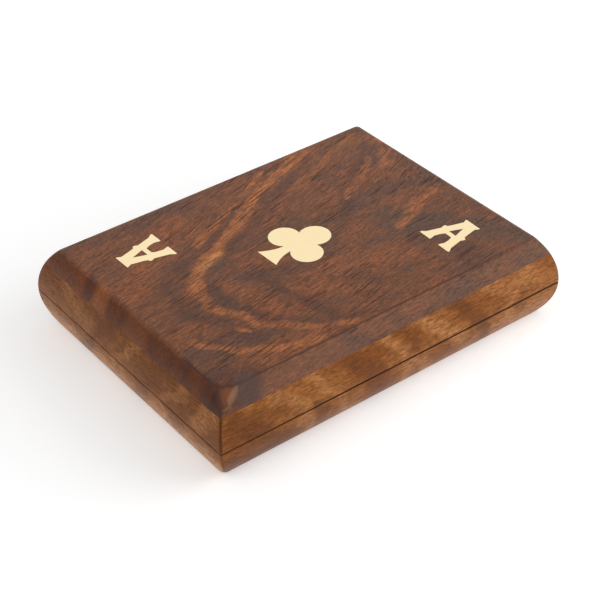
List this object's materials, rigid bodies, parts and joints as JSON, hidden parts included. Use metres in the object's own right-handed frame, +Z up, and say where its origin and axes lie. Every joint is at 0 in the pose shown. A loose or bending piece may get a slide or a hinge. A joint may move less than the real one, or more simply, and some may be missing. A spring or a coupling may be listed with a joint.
{
  "type": "playing card box",
  "caption": "Wooden playing card box with curved walls, a hinged lid with flush brass card symbols, and divided wells for packs side by side.",
  "frame": {"origin": "on the table, under the middle of the closed wooden box, hinge barrels left out", "axes": "+X along the box to its right end, +Y from the front to the hinged back, +Z up"},
  "size_m": [0.1524, 0.1211, 0.033],
  "materials": {
    "dark_wood": "satin polished heartwood",
    "light_wood": "satin polished lighter wood",
    "floor_wood": "plain sanded",
    "pale_brass": "polished flush with the wood",
    "hinge_brass": "polished",
    "felt": "short pile"
  },
  "bodies": {
    "base": {"base_floor": "floor_wood", "base_rail_front": "light_wood", "base_rail_back": "light_wood", "base_rail_left": "light_wood", "base_rail_right": "light_wood", "card_divider": "dark_wood", "well_lining_left": "felt", "well_lining_right": "felt", "hinge_left_base_leaf": "hinge_brass", "hinge_left_pin": "hinge_brass", "hinge_left_base_screw_1": "hinge_brass", "hinge_left_base_screw_2": "hinge_brass", "hinge_right_base_leaf": "hinge_brass", "hinge_right_pin": "hinge_brass", "hinge_right_base_screw_1": "hinge_brass", "hinge_right_base_screw_2": "hinge_brass"},
    "lid": {"lid_top_board": "dark_wood", "lid_rail_front": "light_wood", "lid_rail_back": "light_wood", "lid_rail_left": "light_wood", "lid_rail_right": "light_wood", "lid_lining": "felt", "inlay_index_left": "pale_brass", "inlay_index_right": "pale_brass", "inlay_club": "pale_brass", "hinge_left_lid_leaf": "hinge_brass", "hinge_left_lid_screw_1": "hinge_brass", "hinge_left_lid_screw_2": "hinge_brass", "hinge_right_lid_leaf": "hinge_brass", "hinge_right_lid_screw_1": "hinge_brass", "hinge_right_lid_screw_2": "hinge_brass"}
  },
  "joints": [
    {"name": "lid_hinge", "type": "hinge", "parent": "base", "child": "lid", "pos_m": [0, 0.0607, 0.0143], "axis": [-1, 0, 0], "range_deg": [0, 155]}
  ]
}
